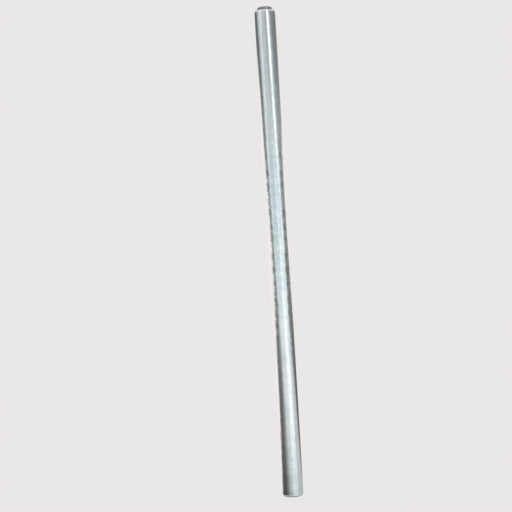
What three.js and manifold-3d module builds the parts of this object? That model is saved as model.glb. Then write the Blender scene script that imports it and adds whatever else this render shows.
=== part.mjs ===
// A long threaded pipe nipple: a smooth round steel tube with a short bush seated in each end. The thread
// is inside the bushes, so the outside stays smooth from rim to rim. Two O-rings seal each bush in the
// tube, and a soft flat washer lies on the shoulder of each socket, held in by the thread.
//
// Millimetres, +Z up. The tube lies along Y, and the origin is on its axis, midway between the outer
// faces of the two bushes.

import * as THREE from 'three';
import { mergeVertices } from 'three/addons/utils/BufferGeometryUtils.js';
import Module from 'manifold-3d';

const wasm = await Module();
wasm.setup();

// Driving dimensions
const TUBE_LENGTH = 500;
const TUBE_DIAMETER = 21.3;
const TUBE_WALL = 1.6;
const TOP_LIP = 3.5; // how far the top bush stands out of the tube
const BOTTOM_LIP = 1.6;
const THREAD_MAJOR_DIAMETER = 13.157; // G 1/4, a parallel 55 degree pipe thread
const THREAD_PITCH = 1.337;

// Fits
const SLIDE_GAP = 0.05; // shank to tube bore, on the radius
const SEAT_GAP = 0.05; // between faces that rest on each other
const SEAL_GAP = 0.03; // round an O-ring
const WASHER_GAP = 0.15; // round the washer, on the radius

// Tube
const TUBE_RADIUS = TUBE_DIAMETER / 2;
const BORE_RADIUS = TUBE_RADIUS - TUBE_WALL;
const TOP_RIM_ROUND = [1.1, 3.5]; // the outer edge's rounding: how far in, and how far along
const BOTTOM_RIM_ROUND = [0.8, 0.8];
const BORE_CHAMFER = 0.2;

// Thread, with flanks 27.5 degrees from square to the axis
const DEPTH_TO_PITCH = 0.640327;
const THREAD_DEPTH = DEPTH_TO_PITCH * THREAD_PITCH;
const FLANK = THREE.MathUtils.degToRad(27.5);
const MAJOR_RADIUS = THREAD_MAJOR_DIAMETER / 2;
const MINOR_RADIUS = MAJOR_RADIUS - THREAD_DEPTH;
const ROOT_WIDTH = THREAD_PITCH / 6;
const CUT_CLEARANCE = 0.1; // how far the thread cutter reaches inside the minor radius

// Bush
const COLLAR_SETBACK = 1.05; // how far the collar stays inside the tube's outside
const COLLAR_RADIUS = TUBE_RADIUS - COLLAR_SETBACK;
const COLLAR_BAND = 0.4; // the straight side of the collar, below the dome
const TOP_DOME = { lip: TOP_LIP, radius: 7.5, edge: 0.35 }; // a narrow boss, with its edge rounded
const BOTTOM_DOME = { lip: BOTTOM_LIP, radius: COLLAR_RADIUS, edge: 2.1 }; // as wide as the collar
const SHANK_RADIUS = BORE_RADIUS - SLIDE_GAP;
const SHANK_LENGTH = 15;
const NOSE_CHAMFER = 0.6;
const MOUTH_CHAMFER = 0.25;
const SOCKET_DEPTH = 12;
const RELIEF_LENGTH = 2.5; // the plain groove behind the thread, which keeps the washer in
const RELIEF_CLEARANCE = 0.2;
const RELIEF_RADIUS = MAJOR_RADIUS + RELIEF_CLEARANCE;
const FLOW_RADIUS = 5.3;

// Seals
const GROOVE_WIDTH = 2.2;
const GROOVE_DEPTH = 1.2;
const GROOVE_STARTS = [3.5, 9]; // from the collar's seat
const RING_WIDTH = 1.8;
const WASHER_THICKNESS = 1.5;
const WASHER_OUTER = RELIEF_RADIUS - WASHER_GAP;
const WASHER_SETBACK = 0.1; // how far its hole stays back from the flow bore
const WASHER_INNER = FLOW_RADIUS + WASHER_SETBACK;

// Faceting. Flat sides of the polygon touch the true circle, so one of them is the line the tube lies on.
const SIDES = 40;
const CORNER = 1 / Math.cos(Math.PI / SIDES);
const THREAD_STEPS = 20;
const EDGE_STEPS = 4;
const RING_STEPS = 8;
const SAME_POINT = 1e-4; // points nearer than this are one

const TOP_END = (TUBE_LENGTH + TOP_LIP + BOTTOM_LIP) / 2;
const TUBE_TOP = TOP_END - TOP_LIP;
const TUBE_BOTTOM = -TOP_END + BOTTOM_LIP;

const material = (color, roughness, metalness) =>
  new THREE.MeshStandardMaterial({ color, roughness, metalness });

const polishedSteel = () => material(0xc9ced1, 0.18, 1);
const oxidisedSteel = () => material(0x6b625d, 0.45, 0.9);
const nitrileRubber = () => material(0x1b1b1c, 0.7, 0);
const washerRubber = () => material(0x7a3226, 0.65, 0);

// A solid of revolution about Y from the corners of its section, each [radius, y], going round the
// section clockwise as seen with the radius to the right and y upwards. The lathe faces outwards when
// its outline runs the other way, so the corners are reversed.
function turned(section) {
  const outline = [...section, section[0]].reverse();
  const points = outline.map(([r, y]) => new THREE.Vector2(r * CORNER, y));
  return new THREE.LatheGeometry(points, SIDES, Math.PI / SIDES);
}

// Points [radius, y] of part of an ellipse between two angles, without its first point.
function arc([centreR, centreY], [halfWidth, halfHeight], from, to, steps) {
  return Array.from({ length: steps }, (_, i) => {
    const angle = from + ((to - from) * (i + 1)) / steps;
    return [centreR + halfWidth * Math.cos(angle), centreY + halfHeight * Math.sin(angle)];
  });
}

function solid(geometry) {
  const bare = geometry.clone();
  bare.deleteAttribute('normal');
  bare.deleteAttribute('uv');
  const merged = mergeVertices(bare, SAME_POINT);
  return new wasm.Manifold(
    new wasm.Mesh({
      numProp: 3,
      vertProperties: new Float32Array(merged.attributes.position.array),
      triVerts: new Uint32Array(merged.index.array),
    }),
  );
}

function geometryOf(manifold) {
  const mesh = manifold.getMesh();
  const geometry = new THREE.BufferGeometry();
  geometry.setAttribute('position', new THREE.BufferAttribute(mesh.vertProperties, 3));
  geometry.setIndex(new THREE.BufferAttribute(mesh.triVerts, 1));
  geometry.computeVertexNormals();
  return geometry;
}

// A right-hand helical tooth about Y from y = from up to y = to: the shape that the thread takes out of
// the bore. Its section is widest inside the bore and narrows to ROOT_WIDTH at the major radius.
function threadCutter(from, to) {
  const inner = MINOR_RADIUS - CUT_CLEARANCE;
  const halfRoot = ROOT_WIDTH / 2;
  const halfMouth = halfRoot + (MAJOR_RADIUS - inner) * Math.tan(FLANK);
  const section = [
    [inner, -halfMouth],
    [MAJOR_RADIUS, -halfRoot],
    [MAJOR_RADIUS, halfRoot],
    [inner, halfMouth],
  ];
  const count = Math.ceil(((to - from) / THREAD_PITCH) * THREAD_STEPS);
  const corners = section.length;
  const positions = [];
  const faces = [];
  for (let step = 0; step <= count; step += 1) {
    const turn = step / THREAD_STEPS;
    const angle = 2 * Math.PI * turn;
    for (const [r, y] of section) {
      positions.push(r * Math.sin(angle), from + turn * THREAD_PITCH + y, r * Math.cos(angle));
    }
  }
  for (let step = 0; step < count; step += 1) {
    for (let corner = 0; corner < corners; corner += 1) {
      const a = step * corners + corner;
      const b = step * corners + ((corner + 1) % corners);
      faces.push(b, a, a + corners, b, a + corners, b + corners);
    }
  }
  const last = count * corners;
  faces.push(0, 1, 2, 0, 2, 3, last, last + 2, last + 1, last, last + 3, last + 2);
  const geometry = new THREE.BufferGeometry();
  geometry.setAttribute('position', new THREE.Float32BufferAttribute(positions, 3));
  geometry.setIndex(faces);
  return geometry;
}

// The tube, with its rims rounded outside and chamfered inside.
function tube() {
  const [topWidth, topHeight] = TOP_RIM_ROUND;
  const [bottomWidth, bottomHeight] = BOTTOM_RIM_ROUND;
  const top = [TUBE_RADIUS - topWidth, TUBE_TOP - topHeight];
  const bottom = [TUBE_RADIUS - bottomWidth, TUBE_BOTTOM + bottomHeight];
  return turned([
    [BORE_RADIUS, TUBE_BOTTOM + BORE_CHAMFER],
    [BORE_RADIUS, TUBE_TOP - BORE_CHAMFER],
    [BORE_RADIUS + BORE_CHAMFER, TUBE_TOP],
    [TUBE_RADIUS - topWidth, TUBE_TOP],
    ...arc(top, TOP_RIM_ROUND, Math.PI / 2, 0, EDGE_STEPS),
    [TUBE_RADIUS, TUBE_BOTTOM + bottomHeight],
    ...arc(bottom, BOTTOM_RIM_ROUND, 0, -Math.PI / 2, EDGE_STEPS),
    [BORE_RADIUS + BORE_CHAMFER, TUBE_BOTTOM],
  ]);
}

// The bush for the +Y end: a collar against the tube's rim with a dome on it, and a shank with two seal
// grooves inside the tube.
function bushBody({ lip, radius, edge }) {
  const seat = TOP_END - lip + SEAT_GAP;
  const nose = TOP_END - lip - SHANK_LENGTH;
  const groove = (start) => [
    [SHANK_RADIUS, seat - start],
    [SHANK_RADIUS - GROOVE_DEPTH, seat - start],
    [SHANK_RADIUS - GROOVE_DEPTH, seat - start - GROOVE_WIDTH],
    [SHANK_RADIUS, seat - start - GROOVE_WIDTH],
  ];
  const shoulder = TOP_END - SOCKET_DEPTH;
  const relief = shoulder + RELIEF_LENGTH;
  const mouth = MAJOR_RADIUS + MOUTH_CHAMFER;
  const foot = seat + COLLAR_BAND;
  const ledge = radius < COLLAR_RADIUS ? [[COLLAR_RADIUS, foot]] : [];
  return turned([
    [FLOW_RADIUS, nose],
    [FLOW_RADIUS, shoulder],
    [RELIEF_RADIUS, shoulder],
    [RELIEF_RADIUS, relief],
    [MINOR_RADIUS, relief + RELIEF_RADIUS - MINOR_RADIUS],
    [MINOR_RADIUS, TOP_END - (mouth - MINOR_RADIUS)],
    [mouth, TOP_END],
    [radius - edge, TOP_END],
    ...arc([radius - edge, foot], [edge, TOP_END - foot], Math.PI / 2, 0, EDGE_STEPS),
    ...ledge,
    [COLLAR_RADIUS, seat],
    [SHANK_RADIUS, seat],
    ...GROOVE_STARTS.flatMap(groove),
    [SHANK_RADIUS, nose + NOSE_CHAMFER],
    [SHANK_RADIUS - NOSE_CHAMFER, nose],
  ]);
}

function bush(dome) {
  const threadStart = TOP_END - SOCKET_DEPTH + RELIEF_LENGTH / 2;
  const cutter = threadCutter(threadStart, TOP_END + THREAD_PITCH);
  return geometryOf(solid(bushBody(dome)).subtract(solid(cutter)));
}

// An O-ring squeezed between its groove and the tube's bore.
function sealRing(lip, start) {
  const y = TOP_END - lip + SEAT_GAP - start - GROOVE_WIDTH / 2;
  const inner = SHANK_RADIUS - GROOVE_DEPTH + SEAL_GAP;
  const outer = BORE_RADIUS - SEAL_GAP;
  const halfStep = Math.PI / RING_STEPS;
  const halfWidth = (outer - inner) / 2 / Math.cos(halfStep);
  const halves = [halfWidth, RING_WIDTH / 2];
  return turned(arc([(inner + outer) / 2, y], halves, halfStep, halfStep - 2 * Math.PI, RING_STEPS));
}

// The flat washer on the shoulder of the socket.
function washer() {
  const low = TOP_END - SOCKET_DEPTH + SEAT_GAP;
  const high = low + WASHER_THICKNESS;
  return turned([
    [WASHER_INNER, low],
    [WASHER_INNER, high],
    [WASHER_OUTER, high],
    [WASHER_OUTER, low],
  ]);
}

function named(name, geometry, look) {
  const mesh = new THREE.Mesh(geometry, look);
  mesh.name = name;
  return mesh;
}

// Everything that belongs to one end, made for the +Y end.
function endFitting(end, dome) {
  const fitting = new THREE.Group();
  fitting.add(named(`${end}_end_bush`, bush(dome), oxidisedSteel()));
  const places = ['outer', 'inner'];
  GROOVE_STARTS.forEach((start, i) => {
    fitting.add(named(`${end}_${places[i]}_o_ring`, sealRing(dome.lip, start), nitrileRubber()));
  });
  fitting.add(named(`${end}_socket_washer`, washer(), washerRubber()));
  return fitting;
}

const nipple = new THREE.Group();
nipple.add(named('pipe_tube', tube(), polishedSteel()));
nipple.add(endFitting('top', TOP_DOME));

// The other end's fitting is made the same way and turned end for end, so its thread is right-hand too.
const bottom = endFitting('bottom', BOTTOM_DOME);
bottom.rotation.z = Math.PI;
nipple.add(bottom);

export default nipple;
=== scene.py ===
"""The looks of a long threaded pipe nipple: a polished steel tube with a dull threaded bush in each end.

Everything is in metres. The tube lies along Y, and +Y is its top end.
"""

import math

import bmesh
import bpy
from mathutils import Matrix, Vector


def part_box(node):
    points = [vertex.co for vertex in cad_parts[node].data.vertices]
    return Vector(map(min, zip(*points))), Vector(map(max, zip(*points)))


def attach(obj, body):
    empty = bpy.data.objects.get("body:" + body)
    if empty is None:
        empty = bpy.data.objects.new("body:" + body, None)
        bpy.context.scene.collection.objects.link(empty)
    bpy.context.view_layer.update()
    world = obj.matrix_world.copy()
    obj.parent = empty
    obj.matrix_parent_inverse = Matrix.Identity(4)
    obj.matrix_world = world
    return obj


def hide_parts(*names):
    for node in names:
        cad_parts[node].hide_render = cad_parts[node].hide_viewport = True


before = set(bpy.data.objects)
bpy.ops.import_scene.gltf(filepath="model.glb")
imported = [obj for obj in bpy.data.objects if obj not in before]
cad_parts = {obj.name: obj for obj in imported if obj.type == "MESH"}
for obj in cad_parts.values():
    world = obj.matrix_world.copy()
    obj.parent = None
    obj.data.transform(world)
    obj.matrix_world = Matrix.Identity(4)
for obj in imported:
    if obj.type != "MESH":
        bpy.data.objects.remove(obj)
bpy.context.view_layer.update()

MM = 0.001

# Sizes that the frame gives
TUBE_LOW, TUBE_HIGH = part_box("pipe_tube")
TUBE_RADIUS = (TUBE_HIGH[0] - TUBE_LOW[0]) / 2
TUBE_MIDDLE = (TUBE_HIGH[1] + TUBE_LOW[1]) / 2
TUBE_HALF = (TUBE_HIGH[1] - TUBE_LOW[1]) / 2
FLOOR_Z = TUBE_LOW[2]

# Sizes of the design that no box shows
TUBE_WALL = 1.6 * MM
BORE_RADIUS = TUBE_RADIUS - TUBE_WALL
TOP_RIM_ROUND = (1.1 * MM, 3.5 * MM)  # how far in, and how far along
BOTTOM_RIM_ROUND = (0.8 * MM, 0.8 * MM)
RIM_BAND = 0.9 * MM  # the satin band along each rim, also painted lighter as a highlight
BORE_CHAMFER = 0.2 * MM
THREAD_PITCH = 1.337 * MM
MAJOR_RADIUS = 13.157 / 2 * MM
MINOR_RADIUS = MAJOR_RADIUS - 0.640327 * THREAD_PITCH
SEAT_GAP = 0.05 * MM
SLIDE_GAP = 0.05 * MM
SEAL_GAP = 0.03 * MM
SHANK_RADIUS = BORE_RADIUS - SLIDE_GAP
NOSE_CHAMFER = 0.6 * MM
MOUTH_RADIUS = MAJOR_RADIUS + 0.25 * MM
SOCKET_DEPTH = 12 * MM
RELIEF_LENGTH = 2.5 * MM
RELIEF_RADIUS = MAJOR_RADIUS + 0.2 * MM
FLOW_RADIUS = 5.3 * MM
COLLAR_RADIUS = TUBE_RADIUS - 1.05 * MM
COLLAR_BAND = 0.4 * MM
TOP_DOME = (7.5 * MM, 0.35 * MM)  # the radius of the boss on the collar, and of its rounded edge
BOTTOM_DOME = (COLLAR_RADIUS, 2.1 * MM)
GROOVE_DEPTH = 1.2 * MM
GROOVE_MARGIN = 0.2 * MM
SMALL_ROUND = 0.15 * MM
WASHER_INNER = FLOW_RADIUS + 0.1 * MM
WASHER_BLUNT = 0.25 * MM  # the rounding of its edges where the punch went in
WASHER_CRISP = 0.08 * MM  # and where it came out

# The camera, straight above the tube
VIEW_ANGLE = math.radians(24)
CAMERA_DISTANCE = 1.2442
CAMERA_ROLL = math.radians(3.38)  # the tube's top leans to the left
CAMERA_LEFT = 23.65 * MM  # how far the camera stands to the left of the tube's middle
CAMERA_BACK = 3.44 * MM  # and how far towards its bottom end

# What the studio needs: how far along the tube's ends mirror, and the share of light that steel returns
SINE_AT_END = TUBE_HALF / math.hypot(TUBE_HALF, CAMERA_DISTANCE)
STEEL_SHINE = 0.80
STEEL_COLOUR = (0.745, 0.805, 0.822)  # its colour, where it is clean
GLOW_SHARE = 0.96  # how much of the floor's light is its own glow

# The red and blue of the lights and shades against their green, from the bottom end (-1) to the top (+1)
LIGHT_RED = [(-1, 0.94), (-0.8, 1.01), (-0.5, 1.02), (-0.2, 0.96), (0.1, 0.93), (0.5, 0.95), (1, 0.995)]
LIGHT_BLUE = [(-1, 1.035), (-0.8, 1.01), (0.5, 1.01), (1, 1.02)]
SHADE_RED = [(-1, 1.08), (0.3, 1.08), (0.7, 1.03), (1, 1.03)]
SHADE_BLUE = [(-1, 0.98), (0.3, 0.98), (0.7, 1.01), (1, 1.01)]

# Where the tube has been gripped, and where patches of painted shade lie along its flanks
GRIP_PLACE = 18 * MM  # from its middle, towards the top
GRIP_HALF = 90 * MM

# The angles round the tube, in radians from the side that faces the camera, over which these come in
SHADED_FLANK = (0.41, 0.64)  # dark patches of painted shade, standing in for dark reflections on the flanks
CLEAN_FLANK = (0.77, 1.0)  # the clean band past them, which mirrors the open room
UNDERSIDE = (1.4, 1.8)  # the ordinary steel past that band

# The steel's colours
STEEL_DIM = (0.675, 0.740, 0.760)
STEEL_BRIGHT = (0.805, 0.860, 0.875)
LINE_COLOUR = (0.50, 0.56, 0.58)
SMUDGE_COLOUR = (0.55, 0.60, 0.61)
# painted shade: the dark that the flanks mirror, painted into the steel's colour
PAINTED_SHADE_COLOUR = (0.33, 0.34, 0.34)
# painted highlight: the rims' satin band, painted lighter than the steel
RIM_HIGHLIGHT_COLOUR = (0.86, 0.89, 0.90)

# The steel's relief, which only bends what it mirrors
GRAIN_HEIGHT = 0.004 * MM
LINE_DEPTH = 0.002 * MM
WAVE_HEIGHT = 0.12 * MM
DENT_HEIGHT = 0.20 * MM

# Mesh fineness
TUBE_SIDES = 192
BUSH_SIDES = 128
TUBE_RING_STEP = 5 * MM
ARC_STEPS = 6
SMALL_ARC_STEPS = 3
SEAL_STEPS = 24
ROWS_PER_THREAD = 12
MERGE_DISTANCE = 0.0002 * MM
SHARP_ANGLE = math.radians(40)

FLOOR_SIZE = 60


# ---------------------------------------------------------------- meshes

def arc(radius, y, size, start, end, steps=ARC_STEPS, height=None):
    """Points (radius, y) of a round corner between two angles in degrees. A height makes it an ellipse."""
    angles = [math.radians(start + (end - start) * i / steps) for i in range(steps + 1)]
    return [(radius + size * math.cos(a), y + (height or size) * math.sin(a)) for a in angles]


def small_round(radius, y, start, end):
    """Points (radius, y) of a small rounded corner between two angles in degrees."""
    return arc(radius, y, SMALL_ROUND, start, end, SMALL_ARC_STEPS)


def spread(low, high, step):
    """Evenly spaced values from low to high, both included, about step apart."""
    count = max(1, round(abs(high - low) / step))
    return [low + (high - low) * i / count for i in range(count + 1)]


def point(angle, radius, y):
    return (radius * math.sin(angle), y, radius * math.cos(angle))


def finished(name, build, material):
    """Turns a bmesh into a smooth piece with sharp corners kept, riding on the one body."""
    bmesh.ops.remove_doubles(build, verts=build.verts, dist=MERGE_DISTANCE)
    bmesh.ops.dissolve_degenerate(build, edges=build.edges, dist=MERGE_DISTANCE)
    bmesh.ops.recalc_face_normals(build, faces=build.faces)
    mesh = bpy.data.meshes.new(name)
    build.to_mesh(mesh)
    build.free()
    for polygon in mesh.polygons:
        polygon.use_smooth = True
    mesh.set_sharp_from_angle(angle=SHARP_ANGLE)
    mesh.materials.append(material)
    piece = bpy.data.objects.new(name, mesh)
    bpy.context.collection.objects.link(piece)
    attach(piece, "root")
    return piece


def turned(sections, after_a_turn=lambda index: index):
    """A closed solid of revolution about Y, from one closed section [(radius, y), ...] for each side.

    after_a_turn says which point of the section a point runs on to after one whole turn."""
    build = bmesh.new()
    sides = len(sections)
    rings = []
    for side, section in enumerate(sections):
        angle = 2 * math.pi * side / sides
        rings.append([build.verts.new(point(angle, radius, y)) for radius, y in section])
    count = len(sections[0])
    for side in range(sides):
        here = rings[side]
        after = rings[(side + 1) % sides]
        for i in range(count):
            j = (i + 1) % count
            next_i, next_j = (after_a_turn(i), after_a_turn(j)) if side == sides - 1 else (i, j)
            if next_i != next_j:
                build.faces.new((here[i], here[j], after[next_j], after[next_i]))
    return build


def plain_turned(section, sides):
    return turned([section] * sides)


# ---------------------------------------------------------------- shader helpers

def new_material(name):
    material = bpy.data.materials.new(name)
    material.use_nodes = True
    tree = material.node_tree
    return material, tree, tree.nodes["Principled BSDF"]


def maths(tree, operation, *values, clamp=False):
    """A Math node's output. Each value is a number or a socket."""
    node = tree.nodes.new("ShaderNodeMath")
    node.operation = operation
    node.use_clamp = clamp
    for socket, value in zip(node.inputs, values):
        if isinstance(value, (int, float)):
            socket.default_value = value
        else:
            tree.links.new(value, socket)
    return node.outputs[0]


def ramp(tree, value, low, high, to_low, to_high, smooth=False):
    """value from low..high mapped to to_low..to_high, held at the ends."""
    node = tree.nodes.new("ShaderNodeMapRange")
    node.interpolation_type = "SMOOTHSTEP" if smooth else "LINEAR"
    for socket, given in zip(node.inputs, (value, low, high, to_low, to_high)):
        if isinstance(given, (int, float)):
            socket.default_value = given
        else:
            tree.links.new(given, socket)
    return node.outputs[0]


def noise(tree, scales, detail=3.0, roughness=0.55, offset=(0, 0, 0)):
    """Noise over the object, with its own number of features to the metre along x, y and z."""
    place = tree.nodes.new("ShaderNodeTexCoord")
    mapping = tree.nodes.new("ShaderNodeMapping")
    mapping.inputs["Location"].default_value = offset
    mapping.inputs["Scale"].default_value = scales
    texture = tree.nodes.new("ShaderNodeTexNoise")
    texture.inputs["Scale"].default_value = 1.0
    texture.inputs["Detail"].default_value = detail
    texture.inputs["Roughness"].default_value = roughness
    tree.links.new(place.outputs["Object"], mapping.inputs["Vector"])
    tree.links.new(mapping.outputs["Vector"], texture.inputs["Vector"])
    return texture.outputs["Fac"]


def mixed_colour(tree, share, first, second):
    node = tree.nodes.new("ShaderNodeMix")
    node.data_type = "RGBA"
    for socket, value in zip((node.inputs[0], node.inputs[6], node.inputs[7]), (share, first, second)):
        if isinstance(value, tuple):
            socket.default_value = (*value, 1.0)
        elif isinstance(value, (int, float)):
            socket.default_value = value
        else:
            tree.links.new(value, socket)
    return node.outputs[2]


def bumped(tree, shader, height, distance):
    node = tree.nodes.new("ShaderNodeBump")
    node.inputs["Strength"].default_value = 1.0
    node.inputs["Distance"].default_value = distance
    tree.links.new(height, node.inputs["Height"])
    tree.links.new(node.outputs["Normal"], shader.inputs["Normal"])


# ---------------------------------------------------------------- materials

def rim_mask(tree, y):
    """1 on the satin band along each rim, which is rougher and is painted lighter as a highlight."""
    from_middle = maths(tree, "ABSOLUTE", maths(tree, "SUBTRACT", y, TUBE_MIDDLE))
    return ramp(tree, from_middle, TUBE_HALF - RIM_BAND, TUBE_HALF - 0.5 * RIM_BAND, 0.0, 1.0, smooth=True)


def grip_and_shade_masks(tree, body):
    """Masks of the gripped stretch: how marked it is, where dark patches of painted shade lie on the
    flanks, and the clean band past that.
    """
    from_grip = maths(tree, "ABSOLUTE", maths(tree, "SUBTRACT", body.outputs["Y"], GRIP_PLACE))
    gripped = ramp(tree, from_grip, 0.6 * GRIP_HALF, 1.4 * GRIP_HALF, 1.0, 0.35, smooth=True)
    shaded_stretch = ramp(tree, from_grip, 0.7 * GRIP_HALF, 1.3 * GRIP_HALF, 1.0, 0.0, smooth=True)
    turn = maths(tree, "ARCTAN2", maths(tree, "ABSOLUTE", body.outputs["X"]), body.outputs["Z"])
    flank = ramp(tree, turn, *SHADED_FLANK, 0.0, 1.0, smooth=True)
    past_shade = maths(tree, "MULTIPLY", ramp(tree, turn, *CLEAN_FLANK, 0.0, 1.0, smooth=True), shaded_stretch)
    clean = maths(tree, "MULTIPLY", ramp(tree, turn, *UNDERSIDE, 1.0, 0.0, smooth=True), past_shade)
    # patches of painted shade: dark reflections on the flanks, painted into the colour
    shade_noise = noise(tree, (16, 85, 16), detail=4, roughness=0.7, offset=(1, 4, 9))
    painted_shade = maths(tree, "MULTIPLY", ramp(tree, shade_noise, 0.46, 0.56, 0.0, 1.0, smooth=True), flank)
    painted_shade = maths(tree, "MULTIPLY", painted_shade, maths(tree, "SUBTRACT", shaded_stretch, past_shade))
    return gripped, painted_shade, clean


def drawn_colour(tree, grain, gripped):
    """The steel's colour under its marks: its grain, streaks along the tube and broad bands round it."""
    streaks = noise(tree, (420, 26, 420), detail=4, offset=(9, 2, 1))
    bands = noise(tree, (22, 170, 22), detail=4, roughness=0.65, offset=(2, 8, 5))
    lustre = maths(tree, "MULTIPLY_ADD", grain, 0.3, maths(tree, "MULTIPLY", streaks, 0.7))
    broad = maths(tree, "MULTIPLY", ramp(tree, bands, 0.35, 0.65, -0.5, 0.5), gripped)
    share = maths(tree, "ADD", ramp(tree, lustre, 0.38, 0.62, 0, 1), broad, clamp=True)
    return mixed_colour(tree, share, STEEL_DIM, STEEL_BRIGHT)


def steel_relief(tree, grain, lines, gripped):
    """The steel's heights: its grain, its fine marks, long waves and, most where it was gripped, dents."""
    waves = noise(tree, (120, 38, 120), detail=2, roughness=0.4, offset=(6, 5, 3))
    dents = noise(tree, (130, 120, 130), detail=2, roughness=0.4, offset=(3, 1, 6))
    relief = maths(tree, "MULTIPLY_ADD", lines, -LINE_DEPTH, maths(tree, "MULTIPLY", grain, GRAIN_HEIGHT))
    relief = maths(tree, "MULTIPLY_ADD", waves, WAVE_HEIGHT, relief)
    return maths(tree, "MULTIPLY_ADD", maths(tree, "MULTIPLY", dents, gripped), DENT_HEIGHT, relief)


def stretch_shine(tree, shader):
    """Stretches the shine as a finish turned round the tube does."""
    shader.inputs["Anisotropic"].default_value = 0.45
    tangent = tree.nodes.new("ShaderNodeTangent")
    tangent.direction_type = "RADIAL"
    tangent.axis = "Y"
    tree.links.new(tangent.outputs[0], shader.inputs["Tangent"])


def polished_steel():
    """Bright drawn steel: faint streaks along it, fine broken marks round it, and smudges of handling. One
    stretch has been gripped, so it is more marked, and dark patches of painted shade lie along both
    flanks, standing in for the dark they mirror. The rims are satin, and are painted lighter as a
    highlight."""
    material, tree, shader = new_material("polished_steel")
    body = tree.nodes.new("ShaderNodeSeparateXYZ")
    tree.links.new(tree.nodes.new("ShaderNodeTexCoord").outputs["Object"], body.inputs[0])
    rim = rim_mask(tree, body.outputs["Y"])
    gripped, painted_shade, clean = grip_and_shade_masks(tree, body)
    grain = noise(tree, (150, 1500, 150), detail=4)
    rings = noise(tree, (45, 330, 45), detail=5, roughness=0.7, offset=(4, 0, 0))
    lines = maths(tree, "MULTIPLY", ramp(tree, rings, 0.56, 0.74, 0.0, 1.0, smooth=True), gripped)
    smudge = noise(tree, (120, 60, 120), detail=5, roughness=0.6, offset=(0, 3, 7))
    smudges = ramp(tree, smudge, 0.53, 0.72, 0.0, 1.0, smooth=True)

    colour = drawn_colour(tree, grain, gripped)
    # the fine lines and smudges are marks; the painted shade darkens the flanks as a painted reflection
    for mask, strength, tone in (
            (lines, 0.45, LINE_COLOUR), (smudges, 0.28, SMUDGE_COLOUR), (painted_shade, 0.62, PAINTED_SHADE_COLOUR)):
        colour = mixed_colour(tree, maths(tree, "MULTIPLY", mask, strength), colour, tone)
    colour = mixed_colour(tree, clean, colour, STEEL_COLOUR)
    # painted highlight along the rims
    colour = mixed_colour(tree, rim, colour, RIM_HIGHLIGHT_COLOUR)
    tree.links.new(colour, shader.inputs["Base Color"])
    roughness = maths(tree, "MULTIPLY_ADD", grain, 0.10, maths(tree, "MULTIPLY_ADD", rim, 0.30, 0.07))
    tree.links.new(maths(tree, "MULTIPLY_ADD", smudges, 0.10, roughness), shader.inputs["Roughness"])
    bumped(tree, shader, steel_relief(tree, grain, lines, gripped), 1.0)
    shader.inputs["Metallic"].default_value = 1.0
    stretch_shine(tree, shader)
    return material


def oxidised_steel():
    """Turned steel under a dull warm-grey oxide, rubbed lighter in patches."""
    material, tree, shader = new_material("oxidised_steel")
    turning = noise(tree, (300, 300, 9000), detail=2)
    patches = noise(tree, (260, 260, 260), detail=5, offset=(2, 1, 0))
    grain = noise(tree, (2500, 2500, 2500), detail=4)
    worn = ramp(tree, patches, 0.45, 0.68, 0.0, 1.0, smooth=True)
    colour = mixed_colour(tree, worn, (0.32, 0.285, 0.268), (0.44, 0.405, 0.385))
    tree.links.new(colour, shader.inputs["Base Color"])
    tree.links.new(maths(tree, "MULTIPLY_ADD", grain, 0.25, 0.32), shader.inputs["Roughness"])
    bumped(tree, shader, maths(tree, "MULTIPLY_ADD", turning, 0.5, grain), 0.01 * MM)
    shader.inputs["Metallic"].default_value = 0.85
    return material


def seal_rubber():
    """Black nitrile with a fine moulded grain and a trace of grease."""
    material, tree, shader = new_material("seal_rubber")
    grain = noise(tree, (3500, 3500, 3500), detail=4)
    grease = noise(tree, (220, 220, 220), detail=3, offset=(5, 5, 0))
    colour = mixed_colour(tree, grain, (0.012, 0.012, 0.013), (0.028, 0.028, 0.030))
    tree.links.new(colour, shader.inputs["Base Color"])
    tree.links.new(ramp(tree, grease, 0.4, 0.65, 0.35, 0.62), shader.inputs["Roughness"])
    bumped(tree, shader, grain, 0.01 * MM)
    return material


def washer_rubber():
    """Brick-red rubber stamped from sheet: a fine chalky grain, a little uneven in colour."""
    material, tree, shader = new_material("washer_rubber")
    grain = noise(tree, (2600, 2600, 2600), detail=5)
    bloom = noise(tree, (350, 350, 350), detail=3, offset=(1, 6, 2))
    shade = maths(tree, "MULTIPLY_ADD", bloom, 0.5, maths(tree, "MULTIPLY", grain, 0.5))
    colour = mixed_colour(tree, shade, (0.16, 0.030, 0.020), (0.34, 0.090, 0.060))
    tree.links.new(colour, shader.inputs["Base Color"])
    tree.links.new(ramp(tree, grain, 0.3, 0.7, 0.55, 0.85), shader.inputs["Roughness"])
    bumped(tree, shader, grain, 0.02 * MM)
    return material


# ---------------------------------------------------------------- pieces

def make_tube(material):
    """The tube, exactly as long and wide as in the frame, with rounded rims."""
    low, high = TUBE_LOW[1], TUBE_HIGH[1]
    inner = BORE_RADIUS + BORE_CHAMFER
    top_width, top_height = TOP_RIM_ROUND
    bottom_width, bottom_height = BOTTOM_RIM_ROUND
    straight_low, straight_high = low + bottom_height, high - top_height
    section = arc(TUBE_RADIUS - bottom_width, straight_low, bottom_width, -90, 0, height=bottom_height)
    section += [(TUBE_RADIUS, y) for y in spread(straight_low, straight_high, TUBE_RING_STEP)[1:-1]]
    section += arc(TUBE_RADIUS - top_width, straight_high, top_width, 0, 90,
                   steps=3 * ARC_STEPS, height=top_height)
    section += arc(inner, high - BORE_CHAMFER, BORE_CHAMFER, 90, 180)
    section += arc(inner, low + BORE_CHAMFER, BORE_CHAMFER, 180, 270)
    return finished("polished_tube", plain_turned(section, TUBE_SIDES), material)


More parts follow.
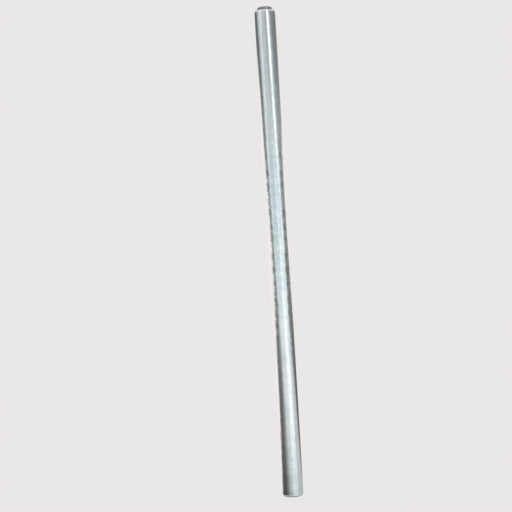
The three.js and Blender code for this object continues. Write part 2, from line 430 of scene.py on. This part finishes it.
def thread_radius(phase):
    """The bore's radius in the thread, at a phase from 0 to 1 within one pitch, crest and root rounded."""
    overshoot = 1.5  # how far past crest and root the straight flanks would run
    knee = 0.8  # where the rounding starts
    wave = overshoot * (1 - 4 * abs(phase % 1 - 0.5))
    if abs(wave) > knee:
        rest = 1 - knee
        wave = math.copysign(1 - rest * math.exp(-(abs(wave) - knee) / rest), wave)
    return (MAJOR_RADIUS + MINOR_RADIUS) / 2 + wave * (MAJOR_RADIUS - MINOR_RADIUS) / 2


def groove_outline(end):
    """The stretch of a bush's section (radius, y) with its two O-ring grooves, going in from the collar."""
    floor = SHANK_RADIUS - GROOVE_DEPTH
    outline = []
    for place in ("outer", "inner"):
        low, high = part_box(f"{end}_{place}_o_ring")
        middle = abs(low[1] + high[1]) / 2
        half = (high[1] - low[1]) / 2 + GROOVE_MARGIN
        outline += small_round(SHANK_RADIUS - SMALL_ROUND, middle + half + SMALL_ROUND, 0, -90)
        outline += [(floor, middle + half), (floor, middle - half)]
        outline += small_round(SHANK_RADIUS - SMALL_ROUND, middle - half - SMALL_ROUND, 90, 0)
    return outline


def bush_outline(end, dome, nose, seat, face):
    """A bush's section but for its thread: from its mouth, over the outside, to the relief in its bore."""
    radius, edge = dome
    foot = seat + COLLAR_BAND
    shoulder = face - SOCKET_DEPTH
    outline = [(MOUTH_RADIUS, face)]
    outline += arc(radius - edge, foot, edge, 90, 0, 2 * ARC_STEPS, height=face - foot)
    if radius < COLLAR_RADIUS:
        outline += small_round(COLLAR_RADIUS - SMALL_ROUND, foot - SMALL_ROUND, 90, 0)
    outline += [(COLLAR_RADIUS, seat), (SHANK_RADIUS, seat)]
    outline += groove_outline(end)
    outline += [(SHANK_RADIUS, nose + NOSE_CHAMFER), (SHANK_RADIUS - NOSE_CHAMFER, nose)]
    outline += small_round(FLOW_RADIUS + SMALL_ROUND, nose + SMALL_ROUND, 270, 180)
    outline += small_round(FLOW_RADIUS + SMALL_ROUND, shoulder - SMALL_ROUND, 180, 90)
    outline += [(RELIEF_RADIUS, shoulder), (RELIEF_RADIUS, shoulder + RELIEF_LENGTH)]
    return outline


def thread_outline(turn, low, high):
    """The thread's section (radius, y) from low to high. Its rows climb one pitch as turn goes from 0 to 1,
    and those that are outside lie on the end that they would pass."""
    rows = math.ceil((high - low) / THREAD_PITCH + 1) * ROWS_PER_THREAD
    start = low - THREAD_PITCH
    outline = []
    for row in range(rows + ROWS_PER_THREAD + 1):
        y = start + (row / ROWS_PER_THREAD + turn) * THREAD_PITCH
        held = min(max(y, low), high)
        opened = max(RELIEF_RADIUS - (held - low), MOUTH_RADIUS - (high - held))
        outline.append((max(thread_radius(row / ROWS_PER_THREAD), opened), held))
    return outline


def make_bush(end, dome, material):
    """A bush with a true helical thread: its rows of points follow the helix, and after one turn each
    row runs on as the row one pitch further out. It is made for the top end, and turned end for end to
    fit the bottom."""
    low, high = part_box(f"{end}_end_bush")
    at_top = end == "top"
    face = high[1] if at_top else -low[1]
    nose = low[1] if at_top else -high[1]
    seat = SEAT_GAP + (TUBE_HIGH[1] if at_top else -TUBE_LOW[1])
    body = bush_outline(end, dome, nose, seat, face)
    thread_low = face - SOCKET_DEPTH + RELIEF_LENGTH
    sections = [body + thread_outline(side / BUSH_SIDES, thread_low, face) for side in range(BUSH_SIDES)]
    last = len(sections[0]) - 1
    build = turned(sections, lambda i: i if i < len(body) else min(i + ROWS_PER_THREAD, last))
    if not at_top:
        for vertex in build.verts:
            vertex.co = Vector((-vertex.co.x, -vertex.co.y, vertex.co.z))
    piece = finished(f"{end}_threaded_bush", build, material)
    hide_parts(f"{end}_end_bush")


def make_o_ring(node, material):
    """An O-ring squeezed a little flat between the floor of its groove and the tube."""
    low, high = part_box(node)
    outer = high[0]
    inner = SHANK_RADIUS - GROOVE_DEPTH + SEAL_GAP
    centre, reach = (outer + inner) / 2, (outer - inner) / 2
    middle, half = (low[1] + high[1]) / 2, (high[1] - low[1]) / 2
    flatness = 1.2  # 1 is round
    section = []
    for i in range(SEAL_STEPS):
        angle = 2 * math.pi * i / SEAL_STEPS
        across = math.copysign(abs(math.cos(angle)) ** (1 / flatness), math.cos(angle))
        section.append((centre + reach * across, middle + half * math.sin(angle)))
    piece = finished(f"{node}_rubber", plain_turned(section, BUSH_SIDES), material)
    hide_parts(node)


def make_washer(node, material):
    """A washer stamped from soft sheet, its edges rounded on one face and nearly square on the other."""
    low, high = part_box(node)
    outer, inner = high[0], WASHER_INNER
    blunt, crisp = WASHER_BLUNT, WASHER_CRISP
    section = arc(outer - crisp, low[1] + crisp, crisp, -90, 0, SMALL_ARC_STEPS)
    section += arc(outer - blunt, high[1] - blunt, blunt, 0, 90)
    section += arc(inner + blunt, high[1] - blunt, blunt, 90, 180)
    section += arc(inner + crisp, low[1] + crisp, crisp, 180, 270, SMALL_ARC_STEPS)
    piece = finished(f"{node}_rubber", plain_turned(section, BUSH_SIDES), material)
    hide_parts(node)


# ---------------------------------------------------------------- stage

def srgb(level):
    """The light that a display shows at this level, from 0 to 1."""
    return ((level + 0.055) / 1.055) ** 2.4


PALE = tuple(srgb(level) for level in (0.9245, 0.9125, 0.9125))


def make_floor():
    """A plain pale floor that glows a little, so that the tube's own shadow stays faint."""
    bpy.ops.mesh.primitive_plane_add(size=FLOOR_SIZE, location=(0, 0, FLOOR_Z))
    floor = bpy.context.object
    floor.name = "floor"
    material = bpy.data.materials.new("floor")
    material.use_nodes = True
    tree = material.node_tree
    tree.nodes.clear()
    matte = tree.nodes.new("ShaderNodeBsdfDiffuse")
    matte.inputs["Color"].default_value = (*PALE, 1)
    glow = tree.nodes.new("ShaderNodeEmission")
    glow.inputs["Color"].default_value = (*PALE, 1)
    mix = tree.nodes.new("ShaderNodeMixShader")
    mix.inputs[0].default_value = GLOW_SHARE
    out = tree.nodes.new("ShaderNodeOutputMaterial")
    tree.links.new(matte.outputs[0], mix.inputs[1])
    tree.links.new(glow.outputs[0], mix.inputs[2])
    tree.links.new(mix.outputs[0], out.inputs["Surface"])
    floor.data.materials.append(material)
    floor.visible_glossy = False


def along(tree, place, points):
    """A number that changes along the tube. points are (place, value), from -1 at the bottom end to +1."""
    values = [value for _, value in points]
    low, high = min(values), max(values)
    if high - low < 1e-6:
        return low
    node = tree.nodes.new("ShaderNodeFloatCurve")
    curve = node.mapping.curves[0]
    while len(curve.points) < len(points):
        curve.points.new(0.5, 0.5)
    for control, (where, value) in zip(curve.points, sorted(points)):
        control.location = ((where + 1) / 2, (value - low) / (high - low))
        control.handle_type = "AUTO_CLAMPED"
    node.mapping.update()
    tree.links.new(ramp(tree, place, -1, 1, 0, 1), node.inputs["Value"])
    return maths(tree, "MULTIPLY_ADD", node.outputs[0], high - low, low)


LEFT, RIGHT = -1, 1
STRIP_CORE = 0.25  # the share of a strip's half-width that is at full strength


class Studio:
    """Soft strips of light and shade round the tube, which its polished side mirrors.

    place runs along the tube, from -1 at the bottom end to +1 at the top. across is where the strip
    shows on the tube from straight above, from -1 at the left edge to +1 at the right. Levels are as a
    display shows them, from 0 to 1. A list of (place, value) stands for a value that changes along."""

    def __init__(self, tree):
        self.tree = tree
        coordinates = tree.nodes.new("ShaderNodeTexCoord")
        parts = tree.nodes.new("ShaderNodeSeparateXYZ")
        tree.links.new(coordinates.outputs["Generated"], parts.inputs[0])
        x, y, z = parts.outputs
        self.place = maths(tree, "DIVIDE", y, SINE_AT_END)
        self.across = maths(tree, "SINE", maths(tree, "MULTIPLY", maths(tree, "ARCTAN2", x, z), 0.5))
        self.lengthwise = maths(tree, "ABSOLUTE", y)
        self.height = z
        self.level = 0.0
        self.open = 0.0

    def value(self, given):
        return along(self.tree, self.place, given) if isinstance(given, list) else given

    def light(self, level):
        if isinstance(level, list):
            return self.value([(where, srgb(value) / STEEL_SHINE) for where, value in level])
        return srgb(level) / STEEL_SHINE

    def lay(self, level, share=1.0):
        """Blends a level over what is there."""
        gap = maths(self.tree, "SUBTRACT", self.light(level), self.level)
        self.level = maths(self.tree, "MULTIPLY_ADD", gap, share, self.level)

    def strip(self, level, across, half_width, share=1.0):
        """A strip round across, fading out to both sides."""
        tree = self.tree
        away = maths(tree, "ABSOLUTE", maths(tree, "SUBTRACT", self.across, self.value(across)))
        reach = maths(tree, "DIVIDE", away, self.value(half_width))
        near = ramp(tree, reach, STRIP_CORE, 1, 1, 0, smooth=True)
        self.lay(level, maths(tree, "MULTIPLY", near, self.value(share)))

    def beyond(self, edge, soft, sign, share):
        """1 past an edge, on the side of it that sign says, LEFT or RIGHT, times the share."""
        tree = self.tree
        past = maths(tree, "MULTIPLY", maths(tree, "SUBTRACT", self.across, self.value(edge)), sign)
        there = ramp(tree, maths(tree, "DIVIDE", past, self.value(soft)), -1, 1, 0, 1, smooth=True)
        return maths(tree, "MULTIPLY", there, self.value(share))

    def side(self, level, edge, soft, sign, share=1.0):
        """Everything beyond an edge."""
        self.lay(level, self.beyond(edge, soft, sign, share))

    def open_side(self, edge, soft, sign, share):
        """The plain pale room, seen beyond an edge."""
        self.open = maths(self.tree, "MAXIMUM", self.open, self.beyond(edge, soft, sign, share))

    def clutter(self, scale_along, scale_across, amount):
        """Makes the shades uneven in patches, and the lights only a little."""
        tree = self.tree
        spot = tree.nodes.new("ShaderNodeCombineXYZ")
        tree.links.new(maths(tree, "MULTIPLY", self.place, scale_along), spot.inputs[0])
        tree.links.new(maths(tree, "MULTIPLY", self.across, scale_across), spot.inputs[1])
        texture = tree.nodes.new("ShaderNodeTexNoise")
        texture.inputs["Scale"].default_value = 1.0
        texture.inputs["Detail"].default_value = 2.0
        tree.links.new(spot.outputs[0], texture.inputs["Vector"])
        patches = ramp(tree, texture.outputs["Fac"], 0.35, 0.65, -1, 1)
        swing = maths(tree, "MULTIPLY", patches, self.value(amount))
        gain = maths(tree, "MULTIPLY_ADD", swing, ramp(tree, self.level, 0.25, 0.7, 1, 0.15), 1.0)
        self.level = maths(tree, "MULTIPLY", self.level, gain)

    def tint(self, red, blue):
        mix = self.tree.nodes.new("ShaderNodeCombineXYZ")
        self.tree.links.new(self.value(red), mix.inputs[0])
        mix.inputs[1].default_value = 1.0
        self.tree.links.new(self.value(blue), mix.inputs[2])
        return mix.outputs[0]

    def colour(self):
        """The light's colour: a little cool where it is bright and a little warm where it is dim."""
        tree = self.tree
        dim, bright = self.tint(SHADE_RED, SHADE_BLUE), self.tint(LIGHT_RED, LIGHT_BLUE)
        tint = mixed_colour(tree, ramp(tree, self.level, 0.1, 0.6, 0, 1), dim, bright)
        scale = tree.nodes.new("ShaderNodeVectorMath")
        scale.operation = "SCALE"
        tree.links.new(tint, scale.inputs[0])
        tree.links.new(self.level, scale.inputs["Scale"])
        room = tuple(light / steel for light, steel in zip(PALE, STEEL_COLOUR))
        return mixed_colour(tree, self.open, scale.outputs[0], room)


def lay_lights(studio):
    # the wide soft light overhead
    studio.lay([(-1, 0.76), (-0.8, 0.85), (-0.5, 0.87), (-0.1, 0.86), (0.2, 0.81), (0.5, 0.79), (1, 0.735)])
    # the broad light over the bottom half, which narrows towards the top
    studio.strip(
        level=[(-1, 0.85), (-0.8, 0.93), (-0.6, 1.02), (-0.45, 0.99), (-0.3, 0.97), (0, 1.0), (1, 1.0)],
        across=[(-1, 0.36), (-0.6, 0.26), (-0.2, 0.22), (0, 0.19), (0.2, 0.14), (0.4, 0.08), (1, 0)],
        half_width=[(-1, 0.38), (-0.6, 0.28), (0, 0.20), (0.4, 0.12), (1, 0.1)],
        share=[(-1, 0.8), (-0.6, 1), (-0.1, 1), (0.15, 0.6), (0.45, 0.4), (0.6, 0), (1, 0)])
    # the shade beside the narrow light
    studio.strip(
        level=0.65,
        across=[(-1, 0), (0.5, 0.10), (1, 0.02)],
        half_width=0.20,
        share=[(-1, 0), (0.35, 0), (0.75, 0.65), (1, 1)])
    # the narrow light, from the top end to past mid-length
    studio.strip(
        level=1.10,
        across=[(-1, 0.5), (0, 0.49), (0.2, 0.45), (0.4, 0.39), (0.6, 0.32), (0.8, 0.255), (1, 0.22)],
        half_width=0.13,
        share=[(-1, 0), (-0.3, 0), (-0.1, 0.4), (0.25, 0.42), (0.5, 0.8), (0.9, 1), (1, 1)])
    # a thin light to the left
    studio.strip(
        level=0.89,
        across=[(-1, -0.36), (0, -0.36), (0.2, -0.41), (0.4, -0.49), (0.6, -0.48), (1, -0.48)],
        half_width=0.13,
        share=[(-1, 0), (-0.1, 0), (0.1, 0.6), (0.4, 1), (1, 0.9)])


def lay_shades(studio):
    # the dark side on the left, with the open room beyond it at mid-length
    studio.side(
        level=[(-1, 0.30), (-0.7, 0.38), (-0.5, 0.42), (-0.2, 0.52), (0.1, 0.59), (0.45, 0.55),
               (0.7, 0.42), (1, 0.40)],
        edge=[(-1, -0.26), (-0.8, -0.33), (-0.5, -0.33), (-0.35, -0.37), (0, -0.44), (0.2, -0.51),
              (0.5, -0.60), (0.8, -0.71), (1, -0.76)],
        soft=[(-1, 0.42), (-0.7, 0.26), (-0.4, 0.17), (-0.1, 0.08), (0.4, 0.05), (1, 0.07)],
        sign=LEFT)
    studio.open_side(
        edge=[(-1, -0.98), (-0.9, -0.93), (-0.8, -0.88), (-0.62, -0.79), (-0.45, -0.78), (-0.3, -0.71),
              (-0.1, -0.63), (0.15, -0.66), (0.35, -0.80), (0.6, -0.87), (0.8, -0.96), (1, -1.1)],
        soft=0.06,
        sign=LEFT,
        share=[(-1, 0.7), (-0.9, 1), (0.75, 1), (0.9, 0), (1, 0)])
    # the middling side on the right of the bottom half
    studio.side(
        level=[(-1, 0.71), (-0.6, 0.76), (1, 0.76)],
        edge=0.54,
        soft=0.06,
        sign=RIGHT,
        share=[(-1, 1), (-0.35, 1), (-0.2, 0), (1, 0)])
    # the dark side on the right, with the open room beyond it at mid-length
    studio.side(
        level=[(-1, 0.60), (-0.85, 0.42), (-0.7, 0.32), (-0.5, 0.36), (-0.3, 0.45), (0, 0.53), (0.2, 0.57),
               (0.45, 0.61), (0.8, 0.50), (1, 0.49)],
        edge=[(-1, 1.10), (-0.85, 0.89), (-0.6, 0.80), (-0.4, 0.69), (-0.25, 0.58), (0.2, 0.56),
              (0.6, 0.55), (1, 0.46)],
        soft=[(-1, 0.06), (-0.2, 0.09), (0.3, 0.09), (0.7, 0.17), (1, 0.13)],
        sign=RIGHT)
    studio.open_side(
        edge=[(-1, 1.2), (-0.4, 1.05), (-0.2, 0.96), (0, 0.91), (0.2, 0.87), (0.35, 0.87), (0.5, 0.95),
              (0.7, 1.05), (1, 1.1)],
        soft=0.05,
        sign=RIGHT,
        share=[(-1, 0), (-0.5, 0), (-0.3, 1), (0.6, 1), (0.8, 0), (1, 0)])


def make_world():
    """The studio: plain and pale to look at, with soft strips for the tube to mirror."""
    world = bpy.data.worlds.new("studio")
    bpy.context.scene.world = world
    world.use_nodes = True
    tree = world.node_tree
    studio = Studio(tree)
    lay_lights(studio)
    lay_shades(studio)
    studio.clutter(
        scale_along=40,
        scale_across=5,
        amount=[(-1, 0.15), (-0.7, 0.2), (-0.3, 0.5), (0.35, 0.5), (0.6, 0.15), (1, 0.1)])
    # the ends of the room, which show the pale floor below and are fainter above
    share = ramp(tree, studio.height, -0.1, 0.3, 1.0, 0.35, smooth=True)
    ends = ramp(tree, studio.lengthwise, 0.3, 0.6, 0, 1, smooth=True)
    studio.lay(0.92, maths(tree, "MULTIPLY", share, ends))

    path = tree.nodes.new("ShaderNodeLightPath")
    shown = mixed_colour(tree, path.outputs["Is Camera Ray"], studio.colour(), PALE)
    tree.links.new(shown, tree.nodes["Background"].inputs["Color"])


# ---------------------------------------------------------------- camera

def make_camera():
    data = bpy.data.cameras.new("camera")
    data.angle = VIEW_ANGLE
    camera = bpy.data.objects.new("camera", data)
    bpy.context.collection.objects.link(camera)
    right = Vector((math.cos(CAMERA_ROLL), -math.sin(CAMERA_ROLL), 0))
    up = Vector((math.sin(CAMERA_ROLL), math.cos(CAMERA_ROLL), 0))
    middle = Vector((0, TUBE_MIDDLE, CAMERA_DISTANCE))
    camera.location = middle - right * CAMERA_LEFT - up * CAMERA_BACK
    camera.rotation_euler = (0, 0, -CAMERA_ROLL)
    bpy.context.scene.camera = camera


make_camera()
bpy.context.scene.view_settings.view_transform = "Standard"
make_floor()
make_world()

tube = make_tube(polished_steel())
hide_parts("pipe_tube")
oxide = oxidised_steel()
ring_rubber = seal_rubber()
red_rubber = washer_rubber()
for end_name, end_dome in (("top", TOP_DOME), ("bottom", BOTTOM_DOME)):
    make_bush(end_name, end_dome, oxide)
    for ring_place in ("outer", "inner"):
        make_o_ring(f"{end_name}_{ring_place}_o_ring", ring_rubber)
    make_washer(f"{end_name}_socket_washer", red_rubber)
